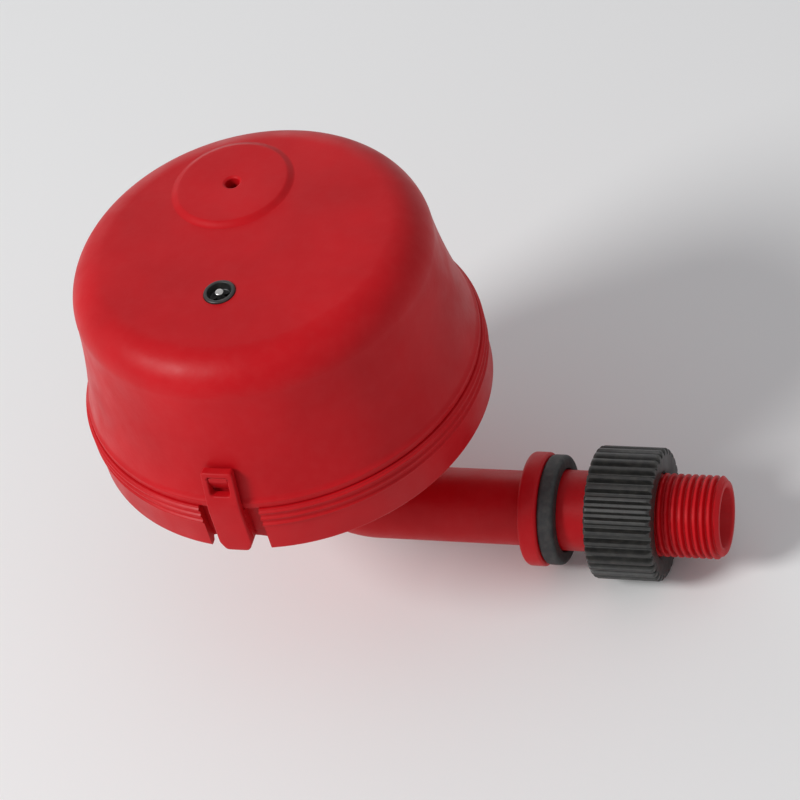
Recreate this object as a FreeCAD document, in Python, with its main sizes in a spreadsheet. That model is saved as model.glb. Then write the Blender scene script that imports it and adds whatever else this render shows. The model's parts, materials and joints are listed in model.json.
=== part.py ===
import FreeCAD, Part
import math
import os
import re
import Sketcher

# Float-controlled drip emitter: a bell on a snap-in tray, fed from below by a side arm that is
# clamped through a container wall with a washer and a lock nut.
#
# Row frame: origin at the centre of the washer's outboard face (the face that meets the wall),
# +X along the arm out of the threaded inlet, +Z up along the bell's axis.
# "Bell heights" are measured from the plane of the tray's lower rim.

SIZES = (
    ("axis_to_wall", 63.8, "bell axis to the washer's wall face"),
    ("arm_drop", 38, "arm axis below the tray's lower rim"),
    ("running_gap", 0.05, "radial gap of a running fit"),
    ("snap_gap", 0.3, "gap around a snap hook or in a loose seat"),
    ("seat_gap", 0.1, "gap between faces that rest on each other"),
    ("cut_over", 1, "start of a cut beyond the face it opens"),
    # bell
    ("bell_wall", 2.2, "wall of the bell"),
    ("bell_step", 1.1, "foot of the bell's wall inside the rim"),
    ("bell_top_radius", 44.4, "bell's outside carried up to the top plane"),
    ("bell_top", 55, "height of the flat top"),
    ("bell_curve", 170, "radius of the concave flare"),
    ("shoulder_radius", 9.5, "rounding of the shoulder"),
    ("bead_step", 0.5, "bead that closes on the tray, inside the rim"),
    ("bead_height", 1.8, "height of that bead"),
    ("pad_radius", 16, "raised round pad"),
    ("pad_rise", 0.9, "height of the pad"),
    ("pad_x", -8.5, "pad centre"),
    ("pad_y", 19, "pad centre"),
    ("vent_radius", 1.8, "air hole in the pad"),
    # tray
    ("rim_radius", 50.4, "outside of the band"),
    ("band_wall", 1.9, "wall of the band"),
    ("band_height", 14, "height of the band"),
    ("rim_bevel", 0.6, "bevel outside under the rim"),
    ("foot_bevel", 0.95, "bevel inside under the rim"),
    ("floor_bottom", 2, "underside of the tray floor"),
    ("floor_wall", 2.5, "thickness of the tray floor"),
    ("ridge_rise", 0.5, "ridges around the band"),
    ("ridge_width", 0.9, "width of a ridge"),
    ("ridge_pitch", 2.1, "spacing of the ridges"),
    ("ridge_count", 3, "ridges around the band"),
    ("ear_half_width", 4.2, "half the width of a latch ear"),
    ("ear_wall", 2, "thickness of a latch ear"),
    ("ear_top", 26.4, "top of a latch ear"),
    ("ear_lean", 2.1, "how far the ear's top leans in along the bell"),
    ("ear_root", 1.5, "height at which the ear leaves the band"),
    ("ear_slit", 3.5, "slit through the band on each side of an ear"),
    ("ear_corner", 2.4, "slant across an ear's lower corners"),
    ("hook_inset", 0.1, "snap hook's tip inside the ear's foot"),
    ("window_half_width", 2.6, "half the width of an ear's window"),
    ("window_low", 19.8, "window's lower edge"),
    ("window_high", 25.1, "window's upper edge"),
    ("outlet_count", 12, "outlet slots in the tray floor"),
    ("outlet_inner", 28, "slots' inner end"),
    ("outlet_outer", 41, "slots' outer end"),
    ("outlet_half_width", 1.2, "half the width of a slot"),
    # arm
    ("arm_radius", 9.5, "outside of the arm and the riser"),
    ("arm_bore", 7.5, "bore of the arm"),
    ("bend_radius", 14, "centre-line radius of the elbow"),
    ("flange_radius", 14.5, "flange behind the washer"),
    ("flange_wall", 5, "thickness of the flange"),
    ("thread_radius", 10.4775, "crest radius of the G1/2 thread"),
    ("relief_radius", 9.3, "relief groove between the two threaded stretches"),
    ("relief_width", 0.8, "width of the relief groove"),
    ("inlet_reach", 41.2, "threaded end beyond the wall face"),
    ("inlet_chamfer", 1, "lead-in of the threaded end"),
    ("washer_wall", 4.3, "thickness of the washer"),
    ("washer_radius", 14, "outside of the washer"),
    ("wall_gap", 8.3, "room for the container wall"),
    ("nut_length", 17.2, "length of the lock nut"),
    ("nut_radius", 16.8, "crests of the nut's grip ribs"),
    ("nut_rib_depth", 1.1, "depth of the grooves between the ribs"),
    ("nut_rib_count", 36, "grip ribs"),
    ("nut_bevel", 0.8, "bevel at each end of the nut"),
    # riser joint
    ("riser_thread", 8, "threaded end of the riser"),
    ("riser_top", 12, "top of the riser"),
    ("collar_radius", 13, "collar under the tray"),
    ("collar_wall", 2.5, "thickness of that collar"),
    ("nozzle_bore", 5.5, "bore of the riser's upper end"),
    ("nozzle_bore_depth", 16, "depth of that bore"),
    ("riser_seal_wall", 1, "thickness of the gasket under the tray"),
    ("clamp_flats", 10.5, "riser nut, centre to flat"),
    ("clamp_height", 5, "height of the riser nut"),
    ("nozzle_stub", 5, "length of the nozzle's stub"),
    ("nozzle_flange", 7.6, "nozzle's flange radius"),
    ("nozzle_flange_wall", 1.8, "nozzle's flange thickness"),
    ("nozzle_seal_wall", 1.2, "thickness of the nozzle's seal"),
    ("nozzle_top", 22, "height of the nozzle's lip"),
    ("nozzle_foot", 4.5, "cone radius at the flange"),
    ("nozzle_lip", 2.3, "cone radius at the lip"),
    ("nozzle_hole", 0.9, "orifice radius"),
    # lever
    ("bracket_wall", 1.5, "bracket's base plate"),
    ("cheek_inner", 12.2, "bracket cheeks, inner faces"),
    ("cheek_wall", 2, "thickness of a cheek"),
    ("cheek_radius", 3.6, "rounding of a cheek about the pivot"),
    ("pivot_y", 9, "pivot pin off the bell axis"),
    ("pivot_z", 27, "height of the pivot pin"),
    ("pivot_radius", 1.5, "pivot pin"),
    ("pivot_head", 2.6, "head of the pivot pin"),
    ("pivot_head_wall", 1, "thickness of that head"),
    ("open_angle", 9.5, "tilt of the lever when the valve is open"),
    ("lever_half_width", 4, "half the width of the lever"),
    ("lever_low", 1, "underside of the beam above the pivot"),
    ("lever_high", 4, "top of the beam above the pivot"),
    ("lever_tail", 31, "length of the tail from the pivot"),
    ("lever_arm", 24, "length of the float end from the pivot"),
    ("barrel_radius", 3.2, "barrel around the pivot pin"),
    ("seat_boss", 4.4, "half the length of the seat's boss"),
    ("seat_depth", 1.2, "depth of the seat's pocket"),
    ("seat_boss_low", 3.6, "underside of the boss below the pivot"),
    ("seat_radius", 3.4, "rubber seat"),
    ("seat_lift", 0.05, "seat's gap over the lip when closed"),
    # float
    ("float_reach", 19, "float's centre from the pivot"),
    ("float_end", 12, "radius of the float's rounded ends"),
    ("float_half_span", 10, "float's end centres from its middle"),
    ("float_low", 15, "float's underside below the pivot"),
    ("float_high", 2, "float shell's top below the pivot"),
    ("float_wall", 1.2, "wall of the float"),
    ("lid_wall", 1.6, "thickness of the float's lid"),
    ("stem_radius", 2, "stem on the float's lid"),
    ("stem_top", 6.6, "top of the stem above the pivot"),
    ("clip_radius", 4.5, "push-on clip of the stem"),
    ("clip_wall", 1.5, "thickness of the clip"),
    # drip-rate adjuster
    ("port_x", -1, "adjuster off the bell axis"),
    ("port_y", -18, "adjuster off the bell axis"),
    ("screw_radius", 3.9, "adjusting screw"),
    ("screw_rise", 0.5, "screw above the bell's top"),
    ("screw_length", 9.5, "length of the screw"),
    ("screw_slot", 0.9, "width and depth of the driver slot"),
    ("boss_radius", 6.4, "boss under the top around the screw"),
    ("boss_depth", 8, "boss below the bell's ceiling"),
    ("ledge_radius", 1.7, "hole in the boss's ledge under the screw"),
    ("pin_radius", 1.3, "stop pin in the screw"),
    ("ring_section", 0.7, "section radius of the screw's O-ring"),
    # strainer
    ("strainer_radius", 7.25, "outside of the strainer's cap"),
    ("strainer_length", 55, "length of the strainer"),
    ("strainer_recess", 6, "strainer's collar inside the inlet's mouth"),
    ("mesh_wall", 0.5, "thickness of the mesh"),
    ("mesh_step", 0.5, "mesh inside the cap's outside"),
    ("collar_length", 7, "length of the strainer's collar"),
    ("cap_length", 4, "strainer's end cap"),
    ("cap_slot", 1.2, "half the width of the cap's slot"),
    ("strainer_bore", 5.6, "bore of the collar"),
)

DOC = FreeCAD.newDocument("drip_emitter")
SHEET = DOC.addObject("Spreadsheet::Sheet", "Sizes")
for row, (alias, number, note) in enumerate(SIZES, start=1):
    SHEET.set(f"A{row}", alias)
    SHEET.set(f"B{row}", str(number))
    SHEET.set(f"C{row}", note)
    SHEET.setAlias(f"B{row}", alias)
DOC.recompute()

ALIASES = {alias for alias, number, note in SIZES}
ARM = ("-axis_to_wall", "0", "0")
BELL = ("-axis_to_wall", "0", "arm_drop")
PIVOT = ("-axis_to_wall", "pivot_y", "arm_drop + pivot_z")
PORT = ("port_x - axis_to_wall", "port_y", "arm_drop")
SKIRT = "rim_radius - band_wall - seat_gap"
FLOOR_TOP = "floor_bottom + floor_wall"
BRACKET_TOP = f"{FLOOR_TOP} + bracket_wall"
BEAD = "rim_radius - bead_step"
BELL_LOW = "rim_radius - bell_step"
BEAD_TOP = "band_height + seat_gap + bead_height"
EAR_INNER = f"{BEAD} + snap_gap"
ALONG_ARM = FreeCAD.Rotation(FreeCAD.Vector(0, 1, 0), 90)
LEVEL = FreeCAD.Rotation()
BODIES = []


# Every size below is an expression of the sheet's aliases, so one cell moves all that follows it.

def sheet_names(expression):
    def qualify(match):
        word = match.group(0)
        return f"Sizes.{word}" if word in ALIASES else word
    return re.sub(r"[A-Za-z_]\w*", qualify, expression)


def value(expression):
    return float(SHEET.evalExpression(sheet_names(expression)))


def bind(thing, path, expression):
    thing.setExpression(path, sheet_names(expression))


def new_body(name, place, rotation=LEVEL):
    body = DOC.addObject("PartDesign::Body", name)
    body.Label = name
    body.Placement = FreeCAD.Placement(FreeCAD.Vector(*map(value, place)), rotation)
    for axis, expression in zip("xyz", place):
        bind(body, f"Placement.Base.{axis}", expression)
    BODIES.append(body)
    return body


def origin_part(body, role):
    return next(item for item in body.Origin.OriginFeatures if item.Role == role)


def new_sketch(body, name, plane, offset="0"):
    sketch = body.newObject("Sketcher::SketchObject", name)
    sketch.AttachmentSupport = (origin_part(body, plane), [""])
    sketch.MapMode = "FlatFace"
    bind(sketch, "AttachmentOffset.Base.z", offset)
    DOC.recompute()
    return sketch


def pin_point(sketch, element, end, across, up):
    for kind, expression in (("DistanceX", across), ("DistanceY", up)):
        rule = Sketcher.Constraint(kind, -1, 1, element, end, value(expression))
        bind(sketch, f"Constraints[{sketch.addConstraint(rule)}]", expression)


def add_side(sketch, start, end, radius=None, bulge=1):
    """Adds a straight side, or an arc that bulges to the right of its travel (bulge 1) or left."""
    first = FreeCAD.Vector(*map(value, start), 0)
    last = FreeCAD.Vector(*map(value, end), 0)
    if radius is None:
        return sketch.addGeometry(Part.LineSegment(first, last)), 1, 2
    chord = last - first
    size = value(radius)
    sag = size - math.sqrt(size ** 2 - chord.Length ** 2 / 4)
    aside = FreeCAD.Vector(chord.y, -chord.x, 0).normalize() * sag * bulge
    side = sketch.addGeometry(Part.Arc(first, first + chord / 2 + aside, last))
    rule = Sketcher.Constraint("Radius", side, size)
    bind(sketch, f"Constraints[{sketch.addConstraint(rule)}]", radius)
    if sketch.getPoint(side, 1).distanceToPoint(first) < 1e-6:
        return side, 1, 2
    return side, 2, 1


def outline(sketch, corners):
    """Closed loop: each corner is (across, up), with (radius, bulge) added where an arc leaves it."""
    sides = []
    for number, corner in enumerate(corners):
        following = corners[(number + 1) % len(corners)]
        sides.append(add_side(sketch, corner[:2], following[:2], *corner[2:]))
    for number, corner in enumerate(corners):
        side, head, tail = sides[number]
        before, before_head, before_tail = sides[number - 1]
        sketch.addConstraint(Sketcher.Constraint("Coincident", before, before_tail, side, head))
        pin_point(sketch, side, head, *corner[:2])
    return sketch


def circle(sketch, radius, across="0", up="0"):
    centre = FreeCAD.Vector(value(across), value(up), 0)
    ring = sketch.addGeometry(Part.Circle(centre, FreeCAD.Vector(0, 0, 1), value(radius)))
    rule = Sketcher.Constraint("Radius", ring, value(radius))
    bind(sketch, f"Constraints[{sketch.addConstraint(rule)}]", radius)
    pin_point(sketch, ring, 3, across, up)
    return sketch


def rectangle(sketch, low_across, low_up, high_across, high_up):
    return outline(sketch, ((low_across, low_up), (high_across, low_up),
                            (high_across, high_up), (low_across, high_up)))


def feature(body, kind, sketch, name):
    made = body.newObject(f"PartDesign::{kind}", name)
    made.Profile = sketch
    sketch.Visibility = False
    return made


def turned(body, corners, kind="Revolution", axis="V_Axis", name="turned"):
    """Ring or solid turned from a half section in the XZ plane."""
    sketch = outline(new_sketch(body, f"{name}_section", "XZ_Plane"), corners)
    made = feature(body, kind, sketch, name)
    made.ReferenceAxis = (sketch, [axis])
    made.Angle = 360
    DOC.recompute()
    return made


def raised(body, sketch, length, name, midplane=False, backwards=False):
    made = feature(body, "Pad", sketch, name)
    bind(made, "Length", length)
    made.Midplane = midplane
    made.Reversed = backwards
    DOC.recompute()
    return made


def cut(body, sketch, length, name, midplane=False, backwards=False):
    before = body.Shape.Volume
    made = feature(body, "Pocket", sketch, name)
    bind(made, "Length", length)
    made.Midplane = midplane
    made.Reversed = backwards
    DOC.recompute()
    if body.Shape.Volume >= before:
        raise ValueError(f"{body.Name}.{name} cuts nothing")
    return made


def repeated(body, kind, originals, name, **settings):
    made = body.newObject(f"PartDesign::{kind}", name)
    made.Originals = originals
    for key, setting in settings.items():
        if isinstance(setting, str):
            bind(made, key, setting)
        else:
            setattr(made, key, setting)
    body.Tip = made
    DOC.recompute()
    return made


def softened(body, kind, size, chosen, name):
    """Fillet or chamfer on the edges that chosen() picks."""
    base = body.Tip
    edges = [f"Edge{i}" for i, edge in enumerate(base.Shape.Edges, start=1) if chosen(edge)]
    made = body.newObject(f"PartDesign::{kind}", name)
    made.Base = (base, edges)
    bind(made, "Size" if kind == "Chamfer" else "Radius", size)
    DOC.recompute()
    return made


def ring_at(radius, height):
    """Test for a circular edge of one radius at one height of its body."""
    def chosen(edge):
        curve = edge.Curve
        return (isinstance(curve, Part.Circle) and abs(curve.Radius - value(radius)) < 1e-4
                and abs(edge.CenterOfMass.z - value(height)) < 1e-4)
    return chosen


def wall_chord(height):
    """Radius of the bell's wall at a height, along the straight chord of its outer curve."""
    share = f"({height} - ({BEAD_TOP})) / (bell_top - ({BEAD_TOP}))"
    return f"{BELL_LOW} - ({BELL_LOW} - bell_top_radius) * {share}"


def dome_cover():
    body = new_body("dome_cover", BELL)
    low = "band_height + seat_gap"
    ceiling = "bell_top - bell_wall"
    turned(body, (
        (SKIRT, f"{FLOOR_TOP} + snap_gap"),
        (SKIRT, low),
        (BEAD, low),
        (BEAD, BEAD_TOP),
        (BELL_LOW, f"{BEAD_TOP} + bell_step - bead_step", "bell_curve", -1),
        ("bell_top_radius", "bell_top"),
        ("0", "bell_top"),
        ("0", ceiling),
        ("bell_top_radius - bell_wall", ceiling, "bell_curve + bell_wall", 1),
        (f"{BELL_LOW} - bell_wall", BEAD_TOP),
        (f"{SKIRT} - bell_wall", low),
        (f"{SKIRT} - bell_wall", f"{FLOOR_TOP} + snap_gap"),
    ), name="bell")
    softened(body, "Fillet", "shoulder_radius", ring_at("bell_top_radius", "bell_top"), "shoulder")
    softened(body, "Fillet", "shoulder_radius - bell_wall",
             ring_at("bell_top_radius - bell_wall", ceiling), "inner_shoulder")
    pad = circle(new_sketch(body, "pad_ring", "XY_Plane", "bell_top"), "pad_radius",
                 "pad_x", "pad_y")
    raised(body, pad, "pad_rise", "pad")
    softened(body, "Fillet", "pad_rise / 2", ring_at("pad_radius", "bell_top + pad_rise"),
             "pad_edge")
    boss = circle(new_sketch(body, "boss_ring", "XY_Plane", f"{ceiling} - boss_depth"),
                  "boss_radius", "port_x", "port_y")
    raised(body, boss, "boss_depth + bell_wall / 2", "boss")
    root = f"-({wall_chord('window_high')} - bell_wall / 2)"
    tip = f"-({EAR_INNER} - hook_inset)"
    hook = outline(new_sketch(body, "hook_side", "YZ_Plane"), (
        (root, "window_low + snap_gap"),
        (root, "window_high - snap_gap"),
        (tip, "window_high - snap_gap"),
        (tip, "window_high - snap_gap - bell_wall / 2"),
        (f"-({wall_chord('window_low')})", "window_low + snap_gap"),
    ))
    hook_block = raised(body, hook, "2 * (window_half_width - snap_gap)", "hook", midplane=True)
    repeated(body, "Mirrored", [hook_block], "hooks",
             MirrorPlane=(origin_part(body, "XZ_Plane"), [""]))
    vent = circle(new_sketch(body, "vent_ring", "XY_Plane", "bell_top + pad_rise"),
                  "vent_radius", "pad_x", "pad_y")
    cut(body, vent, "pad_rise + 2 * bell_wall", "vent")
    port = circle(new_sketch(body, "port_ring", "XY_Plane", "bell_top"),
                  "screw_radius + running_gap", "port_x", "port_y")
    cut(body, port, "screw_length - screw_rise + seat_gap", "port")
    ledge = circle(new_sketch(body, "ledge_ring", "XY_Plane", "bell_top"),
                   "ledge_radius", "port_x", "port_y")
    cut(body, ledge, "bell_wall + boss_depth + cut_over", "ledge")


def turned_ear(body, corners, name):
    """Part of an ear: its section at -Y, turned a little wider than the slits will leave it."""
    section = outline(new_sketch(body, f"{name}_section", "YZ_Plane"), tuple(
        (f"-({radius})", height) for radius, height in corners))
    made = feature(body, "Revolution", section, name)
    made.ReferenceAxis = (section, ["V_Axis"])
    bind(made, "Angle", "2 * asin((ear_half_width + ear_slit / 4) / rim_radius)")
    made.Midplane = True
    DOC.recompute()
    return made


def latch_ear(body):
    """Latch ear on the -Y side: it leaves the band as a foot and leans in along the bell."""
    outer = f"{EAR_INNER} + ear_wall"
    foot = turned_ear(body, (
        ("rim_radius - band_wall / 2", "ear_root"),
        ("rim_radius - band_wall / 2", "band_height"),
        (outer, "band_height"),
        (outer, "ear_root + ear_wall / 2"),
        (f"{outer} - ear_wall / 2", "ear_root"),
    ), "ear_foot")
    tongue = turned_ear(body, (
        (EAR_INNER, "band_height - ear_wall"),
        (EAR_INNER, BEAD_TOP),
        (f"{EAR_INNER} - ear_lean", "ear_top"),
        (f"{outer} - ear_lean - ear_wall / 2", "ear_top"),
        (f"{outer} - ear_lean", "ear_top - ear_wall / 2"),
        (outer, BEAD_TOP),
        (outer, "band_height - ear_wall"),
    ), "ear")
    window = rectangle(new_sketch(body, "window_plan", "XZ_Plane", f"{outer} + cut_over"),
                       "-window_half_width", "window_low", "window_half_width", "window_high")
    hole = cut(body, window, "2 * ear_wall + ear_lean", "window")
    slits = []
    for side, name in ((-1, "left"), (1, "right")):
        near = f"{side} * ear_half_width"
        far = f"{side} * (ear_half_width + ear_slit)"
        slit = outline(new_sketch(body, f"{name}_slit_plan", "XZ_Plane", f"{outer} + cut_over"), (
            (near, "ear_root + ear_corner"),
            (f"{side} * (ear_half_width - ear_corner)", "-cut_over"),
            (far, "-cut_over"),
            (far, "ear_top + cut_over"),
            (near, "ear_top + cut_over"),
        ))
        slits.append(cut(body, slit, f"{outer} + cut_over - rim_radius + band_wall + 2 * rim_bevel",
                         f"{name}_slit"))
    return [foot, tongue, hole, *slits]


def base_tray():
    body = new_body("base_tray", BELL)
    inner = "rim_radius - band_wall"
    turned(body, (
        ("riser_thread + seat_gap", "floor_bottom"),
        (f"{inner} - foot_bevel", "floor_bottom"),
        (inner, "0"),
        ("rim_radius - rim_bevel", "0"),
        ("rim_radius", "rim_bevel"),
        ("rim_radius", "band_height"),
        (inner, "band_height"),
        (inner, FLOOR_TOP),
        ("riser_thread + seat_gap", FLOOR_TOP),
    ), name="tray")
    top_ridge = "band_height - ridge_width"
    ridge = turned(body, (
        ("rim_radius - band_wall / 2", f"{top_ridge} - ridge_width / 2"),
        ("rim_radius", f"{top_ridge} - ridge_width / 2"),
        ("rim_radius + ridge_rise", f"{top_ridge} - ridge_width / 4"),
        ("rim_radius + ridge_rise", f"{top_ridge} + ridge_width / 4"),
        ("rim_radius", f"{top_ridge} + ridge_width / 2"),
        ("rim_radius - band_wall / 2", f"{top_ridge} + ridge_width / 2"),
    ), name="ridge")
    repeated(body, "LinearPattern", [ridge], "ridges", Reversed=True,
             Direction=(origin_part(body, "Z_Axis"), [""]),
             Length="ridge_pitch * (ridge_count - 1)", Occurrences="ridge_count")
    repeated(body, "Mirrored", latch_ear(body), "ears",
             MirrorPlane=(origin_part(body, "XZ_Plane"), [""]))
    slot = rectangle(new_sketch(body, "outlet_plan", "XY_Plane", FLOOR_TOP),
                     "outlet_inner", "-outlet_half_width", "outlet_outer", "outlet_half_width")
    outlet = cut(body, slot, "2 * floor_wall", "outlet")
    repeated(body, "PolarPattern", [outlet], "outlets", Angle=360.0,
             Axis=(origin_part(body, "Z_Axis"), [""]), Occurrences="outlet_count")


def inlet_arm():
    """Arm, elbow and riser in one moulding; local origin where the two centre lines cross."""
    body = new_body("inlet_arm", ARM)
    flange = "axis_to_wall - washer_wall"
    end = "axis_to_wall + inlet_reach"
    relief = "axis_to_wall + wall_gap + nut_length + relief_width"
    turned(body, (
        ("bend_radius", "0"),
        ("bend_radius", "arm_radius"),
        (f"{flange} - flange_wall", "arm_radius"),
        (f"{flange} - flange_wall", "flange_radius"),
        (flange, "flange_radius"),
        (flange, "thread_radius"),
        (relief, "thread_radius"),
        (relief, "relief_radius"),
        (f"{relief} + relief_width", "relief_radius"),
        (f"{relief} + relief_width", "thread_radius"),
        (f"{end} - inlet_chamfer", "thread_radius"),
        (end, "thread_radius - inlet_chamfer"),
        (end, "0"),
    ), axis="H_Axis", name="arm")
    shoulder = "arm_drop + floor_bottom - 2 * seat_gap - riser_seal_wall"
    top = "arm_drop + riser_top"
    turned(body, (
        ("0", "bend_radius"),
        ("arm_radius", "bend_radius"),
        ("arm_radius", f"{shoulder} - collar_wall"),
        ("collar_radius", f"{shoulder} - collar_wall"),
        ("collar_radius", shoulder),
        ("riser_thread", shoulder),
        ("riser_thread", top),
        ("0", top),
    ), name="riser")
    elbow(body, "AdditivePipe", "arm_radius", "bend_radius", "bend_radius", "elbow")
    elbow(body, "SubtractivePipe", "arm_bore", end, f"{top} - nozzle_bore_depth", "bore")
    seat = circle(new_sketch(body, "nozzle_bore_ring", "XY_Plane", top), "nozzle_bore")
    cut(body, seat, "nozzle_bore_depth + cut_over", "nozzle_seat")


def elbow(body, kind, radius, start, finish, name):
    """Pipe along the arm from start, round the bend and up the riser to finish."""
    ring = circle(new_sketch(body, f"{name}_ring", "YZ_Plane", start), radius)
    path = new_sketch(body, f"{name}_path", "XZ_Plane")
    corners = [("bend_radius", "0"), ("0", "bend_radius")]
    pieces = []
    if start != "bend_radius":
        pieces.append(add_side(path, (start, "0"), corners[0]))
    pieces.append(add_side(path, corners[0], corners[1], "bend_radius", -1))
    if finish != "bend_radius":
        pieces.append(add_side(path, corners[1], ("0", finish)))
    for (before, _, tail), (after, head, _) in zip(pieces, pieces[1:]):
        path.addConstraint(Sketcher.Constraint("Coincident", before, tail, after, head))
    points = [(start, "0")] * (start != "bend_radius") + corners[:1]
    for (side, head, _), point in zip(pieces, points + corners[1:]):
        pin_point(path, side, head, *point)
    side, _, tail = pieces[-1]
    pin_point(path, side, tail, "0", finish)
    pipe = feature(body, kind, ring, name)
    pipe.Spine = (path, [f"Edge{i + 1}" for i in range(len(pieces))])
    DOC.recompute()


def wall_washer():
    body = new_body("wall_washer", ("-washer_wall", "0", "0"), ALONG_ARM)
    inner = "thread_radius + seat_gap"
    turned(body, ((inner, "0"), ("washer_radius", "0"), ("washer_radius", "washer_wall"),
                  (inner, "washer_wall")), name="washer")


def lock_nut():
    body = new_body("lock_nut", ("wall_gap", "0", "0"), ALONG_ARM)
    inner = "thread_radius + running_gap"
    root = "nut_radius - nut_rib_depth"
    turned(body, ((inner, "0"), (root, "0"), ("nut_radius", "nut_bevel"),
                  ("nut_radius", "nut_length - nut_bevel"), (root, "nut_length"),
                  (inner, "nut_length")), name="nut")
    half = f"({root}) * tan(90 / nut_rib_count)"
    groove = outline(new_sketch(body, "groove_plan", "XY_Plane", "nut_length"), (
        (root, f"-{half}"), ("nut_radius + nut_rib_depth", f"-2 * {half}"),
        ("nut_radius + nut_rib_depth", f"2 * {half}"), (root, half)))
    notch = cut(body, groove, "2 * nut_length", "groove")
    repeated(body, "PolarPattern", [notch], "ribs", Angle=360.0,
             Axis=(origin_part(body, "Z_Axis"), [""]), Occurrences="nut_rib_count")


def strainer_piece(name, corners):
    place = ("inlet_reach - strainer_recess - strainer_length", "0", "0")
    body = new_body(name, place, ALONG_ARM)
    turned(body, corners, name=name)
    return body


def strainer():
    """Strainer in the inlet's bore; local Z runs from its end cap out to its collar."""
    collar = "arm_bore - running_gap"
    strainer_piece("strainer_collar", (
        ("strainer_bore", "strainer_length - collar_length"),
        ("strainer_radius", "strainer_length - collar_length"),
        (collar, "strainer_length - collar_length / 2"),
        (collar, "strainer_length"),
        ("strainer_bore", "strainer_length"),
    ))
    outside = "strainer_radius - mesh_step"
    strainer_piece("strainer_mesh", (
        (f"{outside} - mesh_wall", "cap_length"),
        (outside, "cap_length"),
        (outside, "strainer_length - collar_length"),
        (f"{outside} - mesh_wall", "strainer_length - collar_length"),
    ))
    cap = strainer_piece("strainer_cap", (("0", "0"), ("strainer_radius", "0"),
                                          ("strainer_radius", "cap_length"), ("0", "cap_length")))
    slot = rectangle(new_sketch(cap, "slot_plan", "XY_Plane"), "-strainer_radius / 2",
                     "-cap_slot", "strainer_radius / 2", "cap_slot")
    cut(cap, slot, "cap_length / 2", "slot", backwards=True)


def riser_joint():
    """Gasket under the tray and hexagon nut on the bracket's plate."""
    seal = new_body("riser_seal", BELL)
    under = "floor_bottom - seat_gap"
    bottom = f"{under} - riser_seal_wall"
    turned(seal, (("riser_thread + seat_gap", bottom), ("collar_radius", bottom),
                  ("collar_radius", under), ("riser_thread + seat_gap", under)), name="seal")
    nut = new_body("riser_nut", BELL)
    point = "clamp_flats / cos(30)"
    plan = outline(new_sketch(nut, "hexagon", "XY_Plane", BRACKET_TOP), tuple(
        (f"{point} * sin({turn})", f"{point} * cos({turn})") for turn in range(0, -360, -60)))
    raised(nut, plan, "clamp_height", "hexagon_block")
    hole = circle(new_sketch(nut, "hole_ring", "XY_Plane", f"{BRACKET_TOP} + clamp_height"),
                  "riser_thread + running_gap")
    cut(nut, hole, "clamp_height + cut_over", "hole")


def nozzle():
    body = new_body("nozzle", BELL)
    seal_top = "riser_top + nozzle_seal_wall"
    flange_top = f"{seal_top} + nozzle_flange_wall"
    stub = "nozzle_bore - seat_gap"
    turned(body, (
        ("nozzle_hole", "riser_top - nozzle_stub"),
        (stub, "riser_top - nozzle_stub"),
        (stub, seal_top),
        ("nozzle_flange", seal_top),
        ("nozzle_flange", flange_top),
        ("nozzle_foot", flange_top),
        ("nozzle_lip", "nozzle_top"),
        ("nozzle_hole", "nozzle_top"),
    ), name="nozzle_section")
    seal = new_body("nozzle_seal", BELL)
    turned(seal, (("nozzle_bore", "riser_top"), ("nozzle_flange", "riser_top"),
                  ("nozzle_flange", seal_top), ("nozzle_bore", seal_top)), name="ring")


def valve_bracket():
    body = new_body("valve_bracket", BELL)
    outer = "cheek_inner + cheek_wall"
    back = "-clamp_flats / 2"
    front = "pivot_y + cheek_radius / 2"
    plate = rectangle(new_sketch(body, "plate_plan", "XY_Plane", FLOOR_TOP),
                      f"-({outer})", "-clamp_flats", outer, front)
    raised(body, plate, "bracket_wall", "plate")
    cheek = outline(new_sketch(body, "cheek_side", "YZ_Plane", "cheek_inner"), (
        (back, FLOOR_TOP),
        (front, FLOOR_TOP),
        ("pivot_y + cheek_radius", "pivot_z", "cheek_radius", 1),
        ("pivot_y", "pivot_z + cheek_radius", "cheek_radius", 1),
        ("pivot_y - cheek_radius", "pivot_z"),
    ))
    wall = raised(body, cheek, "cheek_wall", "cheek")
    repeated(body, "Mirrored", [wall], "cheeks",
             MirrorPlane=(origin_part(body, "YZ_Plane"), [""]))
    hole = circle(new_sketch(body, "riser_ring", "XY_Plane", BRACKET_TOP),
                  "riser_thread + seat_gap")
    cut(body, hole, "2 * bracket_wall", "riser_hole")
    pin = circle(new_sketch(body, "pin_ring", "YZ_Plane", outer), "pivot_radius + running_gap",
                 "pivot_y", "pivot_z")
    cut(body, pin, f"2 * ({outer})", "pin_hole")


def pivot_pin():
    body = new_body("pivot_pin", PIVOT)
    end = "cheek_inner + cheek_wall + seat_gap"
    turned(body, (
        (f"-({end}) - pivot_head_wall", "0"),
        (f"-({end}) - pivot_head_wall", "pivot_head"),
        (f"-({end})", "pivot_head"),
        (f"-({end})", "pivot_radius"),
        (f"{end} + pivot_head_wall", "pivot_radius"),
        (f"{end} + pivot_head_wall", "0"),
    ), axis="H_Axis", name="pin")


def lever_body(name):
    """Body in the lever's frame: origin on the pivot, tilted to the open, float-down position."""
    tilt = FreeCAD.Rotation(FreeCAD.Vector(1, 0, 0), -value("open_angle"))
    return new_body(name, PIVOT, tilt)


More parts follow.
